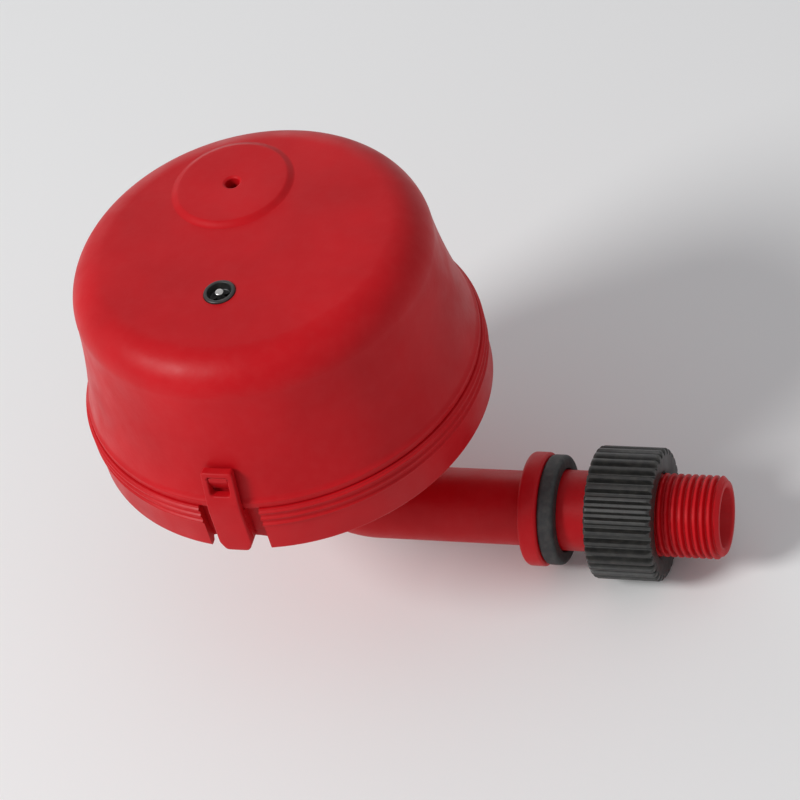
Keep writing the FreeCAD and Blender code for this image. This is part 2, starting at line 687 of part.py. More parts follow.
def float_lever():
    body = lever_body("float_lever")
    front = "-pivot_y + seat_boss"
    back = "-pivot_y - seat_boss"
    beam = outline(new_sketch(body, "beam_side", "YZ_Plane"), (
        ("-lever_tail", "(lever_low + lever_high) / 2"),
        (back, "lever_low"),
        (back, "-seat_boss_low"),
        (front, "-seat_boss_low"),
        (front, "lever_low"),
        ("lever_arm", "lever_low"),
        ("lever_arm", "lever_high"),
        ("-lever_tail", "lever_high"),
    ))
    raised(body, beam, "2 * lever_half_width", "beam", midplane=True)
    barrel = circle(new_sketch(body, "barrel_ring", "YZ_Plane"), "barrel_radius")
    raised(body, barrel, "2 * (cheek_inner - snap_gap)", "barrel", midplane=True)
    pin = circle(new_sketch(body, "pin_ring", "YZ_Plane"), "pivot_radius + running_gap")
    cut(body, pin, "2 * cheek_inner", "pin_hole", midplane=True)
    seat = circle(new_sketch(body, "seat_ring", "XY_Plane", "-seat_boss_low"),
                  "seat_radius + running_gap", "0", "-pivot_y")
    cut(body, seat, "seat_depth", "seat_pocket", backwards=True)
    stem = circle(new_sketch(body, "stem_ring", "XY_Plane", "lever_high"),
                  "stem_radius + seat_gap", "0", "float_reach")
    cut(body, stem, "2 * lever_high", "stem_hole")


def seat_pad():
    body = lever_body("seat_pad")
    low = "nozzle_top - pivot_z + seat_lift"
    disc = circle(new_sketch(body, "disc_ring", "XY_Plane", low), "seat_radius", "0", "-pivot_y")
    raised(body, disc, f"seat_depth - seat_boss_low - ({low})", "disc")


def float_plan(body, name, height, inset="0"):
    """Round-ended outline of the float, lengthways across the lever."""
    end = f"float_end - ({inset})"
    return outline(new_sketch(body, name, "XY_Plane", height), (
        ("float_half_span", f"float_reach - ({end})", end, 1),
        (f"float_half_span + {end}", "float_reach", end, 1),
        ("float_half_span", f"float_reach + {end}"),
        ("-float_half_span", f"float_reach + {end}", end, 1),
        (f"-float_half_span - ({end})", "float_reach", end, 1),
        ("-float_half_span", f"float_reach - ({end})"),
    ))


def float_pieces():
    shell = lever_body("float_shell")
    raised(shell, float_plan(shell, "shell_plan", "-float_low"), "float_low - float_high", "hull")
    cut(shell, float_plan(shell, "hollow_plan", "-float_high", "float_wall"),
        "float_low - float_high - float_wall", "hollow")
    lid = lever_body("float_lid")
    top = "lid_wall - float_high"
    raised(lid, float_plan(lid, "lid_plan", "-float_high"), "lid_wall", "plate")
    collar = circle(new_sketch(lid, "collar_ring", "XY_Plane", f"{top} - lid_wall / 2"),
                    "2 * stem_radius", "0", "float_reach")
    raised(lid, collar, f"lever_low - ({top}) + lid_wall / 2", "collar")
    stem = circle(new_sketch(lid, "stem_ring", "XY_Plane", top), "stem_radius", "0",
                  "float_reach")
    raised(lid, stem, f"stem_top - ({top})", "stem")
    clip = lever_body("float_clip")
    disc = circle(new_sketch(clip, "clip_ring", "XY_Plane", "lever_high + seat_gap"),
                  "clip_radius", "0", "float_reach")
    raised(clip, disc, "clip_wall", "disc")
    hole = circle(new_sketch(clip, "hole_ring", "XY_Plane", "lever_high + seat_gap + clip_wall"),
                  "stem_radius + running_gap", "0", "float_reach")
    cut(clip, hole, "clip_wall + cut_over", "hole")


def rate_screw():
    """Adjusting screw through the bell's top; its pin stops the lever's tail."""
    top = "bell_top + screw_rise"
    seal_height = f"{top} - screw_length / 2"
    body = new_body("rate_screw", PORT)
    turned(body, (
        ("pin_radius + running_gap", f"{top} - screw_length"),
        ("screw_radius", f"{top} - screw_length"),
        ("screw_radius", f"{seal_height} - ring_section - seat_gap"),
        ("screw_radius - 2 * ring_section", f"{seal_height} - ring_section - seat_gap"),
        ("screw_radius - 2 * ring_section", f"{seal_height} + ring_section + seat_gap"),
        ("screw_radius", f"{seal_height} + ring_section + seat_gap"),
        ("screw_radius", f"{top} - screw_rise / 2"),
        ("screw_radius - screw_rise / 2", top),
        ("pin_radius + running_gap", top),
    ), name="screw")
    slot = rectangle(new_sketch(body, "slot_plan", "XY_Plane", top), "-2 * screw_radius",
                     "-screw_slot / 2", "2 * screw_radius", "screw_slot / 2")
    cut(body, slot, "screw_slot", "slot")
    ring = new_body("screw_seal", PORT)
    torus = circle(new_sketch(ring, "ring_section", "XZ_Plane"), "ring_section",
                   "screw_radius - ring_section", seal_height)
    made = feature(ring, "Revolution", torus, "ring")
    made.ReferenceAxis = (torus, ["V_Axis"])
    made.Angle = 360
    pin = new_body("rate_pin", PORT)
    reach = "(pivot_y - port_y) * sin(open_angle) + lever_high + pin_radius + seat_gap"
    centre = f"pivot_z + ({reach}) / cos(open_angle)"
    turned(pin, (
        ("0", f"{centre} - pin_radius", "pin_radius", 1),
        ("pin_radius", centre),
        ("pin_radius", f"{top} - seat_gap"),
        ("0", f"{top} - seat_gap"),
    ), name="pin")


def checked_export():
    DOC.recompute()
    for thing in DOC.Objects:
        if {"Invalid", "Error"} & set(thing.State):
            raise ValueError(f"{thing.Name} is {thing.State}")
    os.makedirs("parts", exist_ok=True)
    for body in BODIES:
        if body.Shape.isNull() or not body.Shape.isValid() or len(body.Shape.Solids) != 1:
            raise ValueError(f"{body.Label} is not one valid solid")
        body.Shape.exportStep(f"parts/{body.Label}.step")


for make in (dome_cover, base_tray, inlet_arm, wall_washer, lock_nut, strainer, riser_joint, nozzle,
             valve_bracket, pivot_pin, float_lever, seat_pad, float_pieces, rate_screw):
    make()
checked_export()
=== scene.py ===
import json
import math

import bmesh
import bpy
from mathutils import Matrix, Vector


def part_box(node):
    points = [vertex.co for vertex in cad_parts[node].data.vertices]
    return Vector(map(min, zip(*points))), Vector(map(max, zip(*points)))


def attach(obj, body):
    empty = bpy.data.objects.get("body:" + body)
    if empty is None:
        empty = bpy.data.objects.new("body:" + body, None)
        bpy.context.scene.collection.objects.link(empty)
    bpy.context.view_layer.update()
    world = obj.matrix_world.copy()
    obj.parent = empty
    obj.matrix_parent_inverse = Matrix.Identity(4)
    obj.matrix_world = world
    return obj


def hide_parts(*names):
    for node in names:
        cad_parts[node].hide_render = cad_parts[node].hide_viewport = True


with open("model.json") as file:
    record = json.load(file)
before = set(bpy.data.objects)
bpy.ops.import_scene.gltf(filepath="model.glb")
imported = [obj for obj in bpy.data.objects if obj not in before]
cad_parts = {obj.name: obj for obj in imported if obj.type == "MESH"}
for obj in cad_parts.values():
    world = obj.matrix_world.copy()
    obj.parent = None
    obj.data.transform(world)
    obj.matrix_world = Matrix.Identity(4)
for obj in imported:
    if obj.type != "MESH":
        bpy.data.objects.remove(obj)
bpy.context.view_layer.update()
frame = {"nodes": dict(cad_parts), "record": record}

MM = 0.001

# ---- sizes: the CAD nodes' boxes, and what hangs on them -----------------------------------

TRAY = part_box("base_tray")
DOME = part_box("dome_cover")
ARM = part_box("inlet_arm")
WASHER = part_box("wall_washer")
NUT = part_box("lock_nut")
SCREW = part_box("rate_screw")
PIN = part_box("rate_pin")
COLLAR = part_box("strainer_collar")
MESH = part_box("strainer_mesh")
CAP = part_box("strainer_cap")

PLAY = 0.1 * MM             # clearance between pieces that sit in each other
FINE_EDGE = 0.2 * MM        # roundings of moulded edges, from crisp to soft
EDGE = 0.3 * MM
ROUND_EDGE = 0.4 * MM
SOFT_EDGE = 0.5 * MM

# Bell and tray: radii from the bell's axis, heights above the tray's underside.
BELL_X = (TRAY[0][0] + TRAY[1][0]) / 2
RIM = TRAY[0][2]
PAD_RISE = 0.9 * MM
PAD_TOP = DOME[1][2] - RIM
BELL_TOP = DOME[1][2] - PAD_RISE - RIM
RIDGE_RISE = 0.5 * MM
RIDGE_REACH = (TRAY[1][0] - TRAY[0][0]) / 2
RIDGE_PITCH = 2.1 * MM
RIDGE_MARGIN = 0.9 * MM     # uppermost ridge below the band's top
BAND_RADIUS = RIDGE_REACH - RIDGE_RISE
BAND_WALL = 1.9 * MM
BAND_HEIGHT = 14 * MM
BEAD_RADIUS = BAND_RADIUS - 0.5 * MM    # bead of the bell that sits on the band
BEAD_TOP = 15.9 * MM
BELL_LOW = BAND_RADIUS - 1.1 * MM       # foot of the flare, over the bead
BELL_TOP_RADIUS = BAND_RADIUS - 6 * MM
BELL_WALL = 2.2 * MM
SKIRT_FOOT = 4.8 * MM       # lower end of the skirt, inside the band
SHOULDER = 9.5 * MM         # radius between the bell's side and its top
FLARE = 170 * MM            # radius of the side's arc

PAD_PLACE = (BELL_X - 8.5 * MM, 19 * MM)
PAD_RADIUS = 14.6 * MM
PAD_EDGE = 2.2 * MM         # width of the slope round the pad
VENT = 1.8 * MM             # radius of the air hole
PORT_PLACE = ((SCREW[0][0] + SCREW[1][0]) / 2, (SCREW[0][1] + SCREW[1][1]) / 2)
PORT_BOSS = 6.4 * MM
SCREW_RADIUS = (SCREW[1][0] - SCREW[0][0]) / 2

FLOOR_LOW = 2 * MM
FLOOR_TOP = 4.5 * MM
RISER_HOLE = 8.1 * MM
OUTLETS = 12
OUTLET_INNER = 28 * MM
OUTLET_OUTER = 41 * MM
OUTLET_HALF = 1.2 * MM

EAR_REACH = TRAY[1][1]
EAR_TOP = TRAY[1][2] - RIM
EAR_HALF = 4.2 * MM
EAR_SLIT = 3.5 * MM
EAR_ROOT = 1.5 * MM         # lower end of the ear
EAR_CORNER = 2.4 * MM       # taper at its root
EAR_WALL = 2 * MM
EAR_LEAN = 2.1 * MM         # how far its top falls back to the bell
WINDOW_HALF = 2.6 * MM
WINDOW_LOW = 19.8 * MM
WINDOW_HIGH = 25.1 * MM
SIDES = ((-1, "front"), (1, "back"))

# Arm: its axis is the line y = z = 0, and it turns up into the riser under the bell.
TUBE_RADIUS = 9.5 * MM
ARM_BORE = 7.5 * MM
BEND = 14 * MM
RISER_TOP = ARM[1][2]
RISER_RUN = RISER_TOP - BEND
ELBOW_RUN = BEND * math.pi / 2
RISER_RADIUS = 8 * MM
RISER_COLLAR = 13 * MM
RISER_COLLAR_WALL = 2.5 * MM
GASKET_ROOM = 1.2 * MM      # between the riser's collar and the tray's floor
NOZZLE_BORE = 5.5 * MM
NOZZLE_BORE_DEPTH = 16 * MM
FLANGE_FACE = WASHER[0][0]
FLANGE_RADIUS = 14.5 * MM
FLANGE_WALL = 5 * MM
THREAD = 10.4775 * MM       # crests of the G1/2 thread
PITCH = 1.814 * MM
THREAD_DEPTH = 1.15 * MM
NECK_DROP = 0.25 * MM       # plain neck below the crests
NECK_END = 7.6 * MM         # where the thread starts, beyond the wall face
MOUTH = ARM[1][0]

WASHER_RADIUS = WASHER[1][1]
NUT_RADIUS = NUT[1][1]
NUT_RIBS = 36
NUT_BEVEL = 0.8 * MM
RIB_DEPTH = 1.6 * MM        # grooves between the ribs

PIN_RADIUS = 1.3 * MM
PIN_HOLE = PIN_RADIUS + 0.05 * MM
SLOT_HALF = 0.45 * MM       # half the width of the screw's slot, and half its depth
SLOT_TURN = math.radians(35)

STRAINER_BORE = 5.6 * MM
STRAINER_RADIUS = 7.25 * MM
WEAVE_RADIUS = 6.5 * MM
WIRE = 0.17 * MM            # diameter of the mesh's wires
WARPS = 36                  # wires along the strainer
WEFTS = 48                  # spaces between the hoops round it
CAP_SLOT = 1.2 * MM         # half the width of the slot in the end cap

AT_BELL = Matrix.Translation((BELL_X, 0, RIM))
AT_PAD = Matrix.Translation((*PAD_PLACE, RIM))
AT_PORT = Matrix.Translation((*PORT_PLACE, RIM))
AT_SCREW = Matrix.Translation((*PORT_PLACE, 0))
AT_ARM = Matrix.Rotation(math.radians(90), 4, "Y")


# ---- mesh helpers --------------------------------------------------------------------------

def tidy_mesh(mesh, crease=40):
    """Welds doubles, turns the faces outwards and smooths all but the sharp edges."""
    shape = bmesh.new()
    shape.from_mesh(mesh)
    bmesh.ops.remove_doubles(shape, verts=shape.verts, dist=1e-7)
    bmesh.ops.recalc_face_normals(shape, faces=shape.faces)
    for face in shape.faces:
        face.smooth = True
    for edge in shape.edges:
        edge.smooth = len(edge.link_faces) == 2 and edge.calc_face_angle(0) < math.radians(crease)
    shape.to_mesh(mesh)
    shape.free()


def new_object(name, verts, faces, crease=40):
    mesh = bpy.data.meshes.new(name)
    mesh.from_pydata([tuple(v) for v in verts], [], faces)
    tidy_mesh(mesh, crease)
    made = bpy.data.objects.new(name, mesh)
    bpy.context.scene.collection.objects.link(made)
    return made


def smooth_step(value):
    """Eased rise from 0 to 1."""
    value = min(max(value, 0), 1)
    return value * value * (3 - 2 * value)


def rounded(corners, steps=6):
    """Polyline through (across, up[, rounding]) corners, with an arc at each rounded one."""
    points = []
    for number, corner in enumerate(corners):
        here = Vector(corner[:2])
        size = corner[2] if len(corner) > 2 else 0
        if not size:
            points.append(here)
            continue
        before = Vector(corners[number - 1][:2]) - here
        after = Vector(corners[(number + 1) % len(corners)][:2]) - here
        room = min(before.length, after.length) * 0.49     # leaves the next corner its half
        before.normalize()
        after.normalize()
        angle = before.angle(after)
        if angle > math.radians(179):
            points.append(here)
            continue
        back = min(size / math.tan(angle / 2), room)
        size = back * math.tan(angle / 2)
        centre = here + (before + after).normalized() * (size / math.sin(angle / 2))
        first = here + before * back - centre
        last = here + after * back - centre
        sweep = first.angle_signed(last)
        for step in range(steps + 1):
            turn = -sweep * step / steps
            points.append(centre + Matrix.Rotation(turn, 2) @ first)
    return points


def arc(first, last, radius, side, steps):
    """Points from first to last on an arc that bulges to that side of the chord."""
    first = Vector(first)
    last = Vector(last)
    chord = last - first
    normal = Vector((chord.y, -chord.x)).normalized() * side
    depth = math.sqrt(radius ** 2 - chord.length ** 2 / 4)
    centre = (first + last) / 2 - normal * depth
    start = first - centre
    sweep = start.angle_signed(last - centre)
    return [centre + Matrix.Rotation(-sweep * step / steps, 2) @ start
            for step in range(steps + 1)]


def block(left, low, right, high, *rounding):
    """Corners of a rectangle, each with the same rounding if one is given."""
    return [(left, low, *rounding), (right, low, *rounding),
            (right, high, *rounding), (left, high, *rounding)]


def grid_faces(rings, around, closed=True):
    """Quads between rings of points; closed joins the last ring to the first."""
    faces = []
    for number in range(rings if closed else rings - 1):
        here = number * around
        there = (number + 1) % rings * around
        for step in range(around):
            following = (step + 1) % around
            faces.append([here + step, here + following, there + following, there + step])
    return faces


def about_arm(x, radius, turn):
    """Point at that radius from the arm's axis."""
    return (x, radius * math.cos(turn), radius * math.sin(turn))


def hoop(x, radius, around):
    """Ring of points round the arm's axis."""
    return [about_arm(x, radius, 2 * math.pi * step / around) for step in range(around)]


def lathe(name, profile, place, steps):
    """Closed outline of (radius, height) points turned about the local Z axis."""
    verts, rings, faces = [], [], []
    for across, up in profile:
        if abs(across) < 1e-9:
            rings.append([len(verts)])
            verts.append((0, 0, up))
            continue
        rings.append(list(range(len(verts), len(verts) + steps)))
        for step in range(steps):
            turn = 2 * math.pi * step / steps
            verts.append((across * math.cos(turn), across * math.sin(turn), up))
    for one, two in zip(rings, rings[1:] + rings[:1]):
        if len(one) == 1 and len(two) == 1:
            continue
        for step in range(steps):
            following = (step + 1) % steps
            corners = [one[step % len(one)], one[following % len(one)],
                       two[following % len(two)], two[step % len(two)]]
            faces.append(list(dict.fromkeys(corners)))
    return new_object(name, [place @ Vector(v) for v in verts], faces)


def prism(name, outline, low, high, place):
    """Flat outline raised along local Z from low to high."""
    count = len(outline)
    verts = [(x, y, height) for height in (low, high) for x, y in outline]
    faces = [list(range(count))[::-1], list(range(count, 2 * count))]
    faces += [[n, (n + 1) % count, count + (n + 1) % count, count + n] for n in range(count)]
    return new_object(name, [place @ Vector(v) for v in verts], faces)


def carve(target, cutters):
    """Cuts the cutters out of the target and drops them."""
    for cutter in cutters:
        step = target.modifiers.new("carve", "BOOLEAN")
        step.object = cutter
        step.operation = "DIFFERENCE"
        step.solver = "EXACT"
    graph = bpy.context.evaluated_depsgraph_get()
    done = bpy.data.meshes.new_from_object(target.evaluated_get(graph))
    target.modifiers.clear()
    old = target.data
    target.data = done
    bpy.data.meshes.remove(old)
    done.name = target.name
    for cutter in cutters:
        bpy.data.objects.remove(cutter)
    tidy_mesh(done)


def wire_along(points, radius, closed):
    """Verts and faces of a round wire along points."""
    sides = 5
    verts = []
    count = len(points)
    for number, point in enumerate(points):
        ahead = points[(number + 1) % count] if closed else points[min(number + 1, count - 1)]
        behind = points[number - 1] if closed or number else points[0]
        along = (ahead - behind).normalized()
        aside = along.cross(Vector((0, 0, 1)))
        if aside.length < 0.1:
            aside = along.cross(Vector((0, 1, 0)))
        aside.normalize()
        other = along.cross(aside)
        for side in range(sides):
            turn = 2 * math.pi * side / sides
            verts.append(point + (aside * math.cos(turn) + other * math.sin(turn)) * radius)
    faces = grid_faces(count, sides, closed)
    if not closed:
        faces += [list(range(sides))[::-1], list(range(len(verts) - sides, len(verts)))]
    return verts, faces


# ---- materials -----------------------------------------------------------------------------

def noise(tree, scale, detail=3):
    """Procedural noise in object space."""
    place = tree.nodes.new("ShaderNodeTexCoord")
    made = tree.nodes.new("ShaderNodeTexNoise")
    made.inputs["Scale"].default_value = scale
    made.inputs["Detail"].default_value = detail
    tree.links.new(place.outputs["Object"], made.inputs["Vector"])
    return made.outputs["Fac"]


def ranged(tree, source, low, high, from_low=0.3, from_high=0.7):
    """Source stretched so that from_low..from_high becomes low..high."""
    made = tree.nodes.new("ShaderNodeMapRange")
    made.inputs["From Min"].default_value = from_low
    made.inputs["From Max"].default_value = from_high
    made.inputs["To Min"].default_value = low
    made.inputs["To Max"].default_value = high
    tree.links.new(source, made.inputs["Value"])
    return made.outputs["Result"]


def mixed_colour(tree, share):
    """Colour mix node, with its factor linked to share."""
    made = tree.nodes.new("ShaderNodeMix")
    made.data_type = "RGBA"
    tree.links.new(share, made.inputs["Factor"])
    return made


def finish_material(name, light, deep, rough, patches=60, grain=2600, relief=0.02,
                    dust=None, dust_amount=0.0, **uniform):
    """Moulded plastic or metal: two close colours in soft patches, uneven gloss, fine grain.

    patches and grain are noise scales, and relief is the grain's height in millimetres.
    """
    made = bpy.data.materials.new(name)
    made.use_nodes = True
    tree = made.node_tree
    shader = tree.nodes["Principled BSDF"]
    blend = mixed_colour(tree, ranged(tree, noise(tree, patches), 0, 1))
    blend.inputs["A"].default_value = (*deep, 1)
    blend.inputs["B"].default_value = (*light, 1)
    colour = blend.outputs["Result"]
    if dust:
        specks = noise(tree, patches * 9, detail=8)
        share = ranged(tree, specks, 0, dust_amount, from_low=0.42, from_high=0.72)
        film = mixed_colour(tree, share)
        film.inputs["B"].default_value = (*dust, 1)
        tree.links.new(colour, film.inputs["A"])
        colour = film.outputs["Result"]
    tree.links.new(colour, shader.inputs["Base Color"])
    sheen = noise(tree, patches * 3, detail=6)
    tree.links.new(ranged(tree, sheen, *rough), shader.inputs["Roughness"])
    bump = tree.nodes.new("ShaderNodeBump")
    bump.inputs["Strength"].default_value = 1
    bump.inputs["Distance"].default_value = relief * MM
    tree.links.new(noise(tree, grain, detail=4), bump.inputs["Height"])
    tree.links.new(bump.outputs["Normal"], shader.inputs["Normal"])
    for key, setting in uniform.items():
        shader.inputs[key.replace("_", " ")].default_value = setting
    return made


LOOKS = {
    "red_shell": dict(
        light=(0.55, 0.004, 0.009), deep=(0.45, 0.003, 0.007), rough=(0.36, 0.52),
        patches=40, grain=900, relief=0.03, dust=(0.56, 0.05, 0.05), dust_amount=0.08,
        Specular_IOR_Level=0.18),
    "black_nylon": dict(
        light=(0.019, 0.019, 0.018), deep=(0.011, 0.011, 0.011), rough=(0.34, 0.5),
        grain=2400, relief=0.02, dust=(0.10, 0.095, 0.08), dust_amount=0.22),
    "black_rubber": dict(
        light=(0.022, 0.022, 0.023), deep=(0.014, 0.014, 0.015), rough=(0.55, 0.75),
        grain=3000, relief=0.03, dust=(0.10, 0.095, 0.085), dust_amount=0.3),
    "white_acetal": dict(
        light=(0.74, 0.73, 0.69), deep=(0.68, 0.66, 0.61), rough=(0.32, 0.46),
        grain=1800, relief=0.01),
    "pale_mesh": dict(
        light=(0.66, 0.62, 0.52), deep=(0.58, 0.54, 0.44), rough=(0.35, 0.55),
        patches=120, grain=3000, relief=0.01),
    "steel": dict(
        light=(0.56, 0.55, 0.54), deep=(0.46, 0.45, 0.44), rough=(0.30, 0.42),
        grain=2600, relief=0.01, Metallic=1.0),
}
FINISH = {name: finish_material(name, **look) for name, look in LOOKS.items()}


def dress(made, slot_name, body, *nodes):
    """Gives a piece its finish, the body that it rides on and the CAD nodes that it replaces."""
    made.data.materials.clear()
    made.data.materials.append(FINISH[slot_name])
    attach(made, body)
    if nodes:
        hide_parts(*nodes)


# ---- bell ----------------------------------------------------------------------------------

def bell_profile():
    """Section of the shell: skirt, bead, flare and crown, then the inside back down."""
    seat = BAND_HEIGHT + PLAY
    skirt = BAND_RADIUS - BAND_WALL - PLAY
    skirt_inside = skirt - BELL_WALL
    ceiling = BELL_TOP - BELL_WALL
    flare_foot = (BELL_LOW, BEAD_TOP + 0.6 * MM)
    flare_high = BELL_TOP - SHOULDER * 0.94     # the shoulder takes over here
    flare = [point for point in arc(flare_foot, (BELL_TOP_RADIUS, BELL_TOP), FLARE, -1, 40)
             if point.y < flare_high]
    flare_end = flare[-1]
    heading = (flare_end - flare[-2]).normalized()
    centre = Vector((flare_end.x - SHOULDER * heading.y, BELL_TOP - SHOULDER))
    crown_steps = 24
    crown_low = flare_end.y + 0.2 * MM
    crown = []
    for step in range(1, crown_steps + 1):
        turn = math.radians(90 * step / crown_steps)
        point = Vector((centre.x + SHOULDER * math.cos(turn), centre.y + SHOULDER * math.sin(turn)))
        if point.y > crown_low:
            crown.append(point)
    bead = rounded([(skirt, SKIRT_FOOT), (skirt, seat), (BEAD_RADIUS, seat, EDGE),
                    (BEAD_RADIUS, BEAD_TOP, SOFT_EDGE), flare_foot], 4)[:-1]
    inner_shoulder = (centre.x + SHOULDER * 0.4, ceiling - 1.2 * MM)
    inner_top = (BELL_TOP_RADIUS - BELL_WALL - 1 * MM, ceiling - 7 * MM)
    inner_foot = (BELL_LOW - BELL_WALL, BEAD_TOP)
    inner_flare = FLARE + 2 * MM
    return [
        *bead, *flare, *crown, Vector((0, BELL_TOP)), Vector((0, ceiling)),
        Vector((centre.x, ceiling)), Vector(inner_shoulder),
        *arc(inner_top, inner_foot, inner_flare, 1, 20),
        Vector((skirt_inside, seat)), Vector((skirt_inside, SKIRT_FOOT)),
    ]


def bell_pad():
    """Round pad on the bell's top, with its soft edge and the air hole's rim."""
    sunk = 0.02 * MM
    foot = BELL_TOP - 1.2 * MM
    bevel, bevel_depth = 0.6 * MM, 0.35 * MM
    slope_steps = 16
    slope = []
    for step in range(slope_steps + 1):
        share = step / slope_steps
        slope.append((PAD_RADIUS + PAD_EDGE * (0.5 - share),
                      BELL_TOP - sunk + (PAD_TOP - BELL_TOP + sunk) * smooth_step(share)))
    made = lathe("bell_pad", [
        (VENT, foot), (PAD_RADIUS + PAD_EDGE * 0.5, foot), *slope,
        *rounded([(PAD_RADIUS - PAD_EDGE, PAD_TOP), (VENT + bevel, PAD_TOP, EDGE),
                  (VENT, PAD_TOP - bevel_depth, EDGE), (VENT, BELL_TOP)])], AT_PAD, steps=160)
    dress(made, "red_shell", "housing")


def snap_hook(name, side):
    """Wedge on the bell's side that stands in an ear's window and is deepest at its top."""
    back = -(BELL_TOP_RADIUS + 1.2 * MM)
    tip = -(BAND_RADIUS - 0.3 * MM)
    low_tip = -(BAND_RADIUS - 1.5 * MM)
    gap = 0.3 * MM
    high = WINDOW_HIGH - gap
    tip_low = WINDOW_HIGH - 1.6 * MM
    low = WINDOW_LOW + gap
    section = rounded([(back, high), (tip, high, EDGE), (tip, tip_low, SOFT_EDGE),
                       (low_tip, low, SOFT_EDGE), (back, low)], 4)
    place = Matrix(((0, 0, 1, BELL_X), (-side, 0, 0, 0), (0, 1, 0, RIM), (0, 0, 0, 1)))
    side_gap = 0.25 * MM
    half = WINDOW_HALF - side_gap
    dress(prism(name, section, -half, half, place), "red_shell", "housing")


def dome():
    made = lathe("bell_shell", bell_profile(), AT_BELL, steps=256)
    port = SCREW_RADIUS + PLAY
    under_port, under_vent, over_bell = 30 * MM, 45 * MM, 60 * MM
    port_cut = lathe("port_cut", block(0, under_port, port, over_bell), AT_PORT, steps=64)
    vent_cut = lathe("vent_cut", block(0, under_vent, VENT, over_bell), AT_PAD, steps=48)
    carve(made, [port_cut, vent_cut])
    dress(made, "red_shell", "housing", "dome_cover")
    bell_pad()
    boss_low, boss_high = BELL_TOP - 6.5 * MM, BELL_TOP - 1 * MM
    boss = block(port, boss_low, PORT_BOSS, boss_high)
    dress(lathe("port_collar", boss, AT_PORT, steps=96), "red_shell", "housing")
    for side, name in SIDES:
        snap_hook(f"snap_hook_{name}", side)


# ---- tray ----------------------------------------------------------------------------------

def tray_profile():
    """Section of the tray: floor, rounded foot, three ridges and the band's top."""
    inner = BAND_RADIUS - BAND_WALL
    root_half, root_round = 0.55 * MM, 0.15 * MM
    crest_half, crest_round = 0.2 * MM, 0.22 * MM
    ridges = []
    for number in (2, 1, 0):
        height = BAND_HEIGHT - RIDGE_MARGIN - RIDGE_PITCH * number
        ridges += [(BAND_RADIUS, height - root_half, root_round),
                   (RIDGE_REACH, height - crest_half, crest_round),
                   (RIDGE_REACH, height + crest_half, crest_round),
                   (BAND_RADIUS, height + root_half, root_round)]
    chamfer = 0.95 * MM
    foot_round = 0.7 * MM
    return rounded([(RISER_HOLE, FLOOR_LOW), (inner - chamfer, FLOOR_LOW, SOFT_EDGE),
                    (inner, 0, EDGE), (BAND_RADIUS, 0, foot_round), *ridges,
                    (BAND_RADIUS, BAND_HEIGHT, EDGE), (inner, BAND_HEIGHT, FINE_EDGE),
                    (inner, FLOOR_TOP, ROUND_EDGE), (RISER_HOLE, FLOOR_TOP)], 4)


def tray():
    made = lathe("tray_band", tray_profile(), AT_BELL, steps=288)
    cut_depth = 8 * MM
    outlet = rounded(block(OUTLET_INNER, -OUTLET_HALF, OUTLET_OUTER, OUTLET_HALF, SOFT_EDGE), 4)
    cutters = []
    for number in range(OUTLETS):
        turn = Matrix.Rotation(2 * math.pi * number / OUTLETS, 4, "Z")
        cutters.append(prism(f"outlet_{number}", outlet, 0, cut_depth, AT_BELL @ turn))
    below = -1 * MM
    above = 20 * MM
    inside = BAND_RADIUS - 3.1 * MM
    for side, name in SIDES:
        place = Matrix(((1, 0, 0, BELL_X), (0, 0, side, side * inside),
                        (0, 1, 0, RIM), (0, 0, 0, 1)))
        for hand in (-1, 1):
            near = hand * EAR_HALF
            far = hand * (EAR_HALF + EAR_SLIT)
            slit = [(near, EAR_ROOT + EAR_CORNER), (hand * (EAR_HALF - EAR_CORNER), below),
                    (far, below), (far, above), (near, above)]
            cutters.append(prism(f"slit_{name}_{hand}", slit, 0, cut_depth, place))
    carve(made, cutters)
    dress(made, "red_shell", "housing", "base_tray")
    for side, name in SIDES:
        ear(f"latch_ear_{name}", side)


def spread(points, count):
    """That many points, evenly spaced along a closed polyline."""
    lengths = [0]
    for one, two in zip(points, points[1:] + points[:1]):
        lengths.append(lengths[-1] + (two - one).length)
    result = []
    for number in range(count):
        along = lengths[-1] * number / count
        place = max(n for n in range(len(points)) if lengths[n] <= along + 1e-12)
        share = (along - lengths[place]) / max(lengths[place + 1] - lengths[place], 1e-12)
        result.append(points[place].lerp(points[(place + 1) % len(points)], share))
    return result


def inset(points, amount):
    """Closed loop moved to the inside by amount."""
    result = []
    for number, point in enumerate(points):
        along = points[(number + 1) % len(points)] - points[number - 1]
        result.append(point + Vector((-along.y, along.x)).normalized() * amount)
    return result


def ear_lean(height):
    """How far the ear's face falls back at a height, eased where it leaves the band."""
    ease = 0.12
    share = (height - BEAD_TOP) / (EAR_TOP - BEAD_TOP)
    if share > ease:
        return EAR_LEAN * share
    return EAR_LEAN * smooth_step((share + ease) / (2 * ease)) * ease


def ear_depth(height):
    """Thickness of the ear: sunk into the band at its root, its own wall above."""
    if height < BAND_HEIGHT:
        return EAR_REACH - (BAND_RADIUS - BAND_WALL / 2)
    return EAR_WALL


